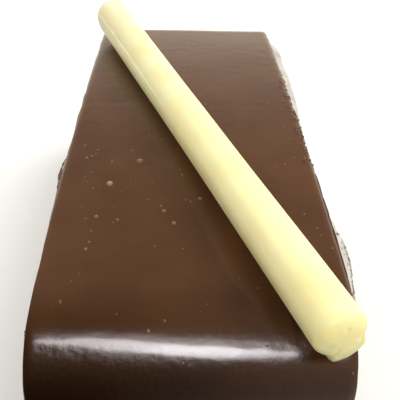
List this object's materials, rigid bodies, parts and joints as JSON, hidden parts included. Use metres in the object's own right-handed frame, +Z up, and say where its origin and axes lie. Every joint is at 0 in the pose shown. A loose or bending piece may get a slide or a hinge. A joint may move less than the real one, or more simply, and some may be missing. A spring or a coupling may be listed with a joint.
{
  "type": "chocolate chantilly slice",
  "caption": "Layered chocolate sponge and whipped cream slice with dark glaze over top and short ends, cut long sides and a rolled white chocolate stick on top.",
  "frame": {"origin": "bottom centre of the whole object's box, on the surface that the slice rests on", "axes": "+X across the slice to its right side, +Y along the slice from the near short end to the far one, +Z up"},
  "size_m": [0.0502, 0.1266, 0.0486],
  "materials": {
    "chocolate_sponge": "matte, open crumb",
    "whipped_cream": "soft satin",
    "dark_glaze": "glossy, softly reflecting",
    "white_chocolate": "satin, waxy"
  },
  "bodies": {
    "root": {"sponge_base": "chocolate_sponge", "cream_lower": "whipped_cream", "sponge_middle": "chocolate_sponge", "cream_upper": "whipped_cream", "glaze": "dark_glaze", "white_chocolate_stick": "white_chocolate"}
  },
  "joints": []
}
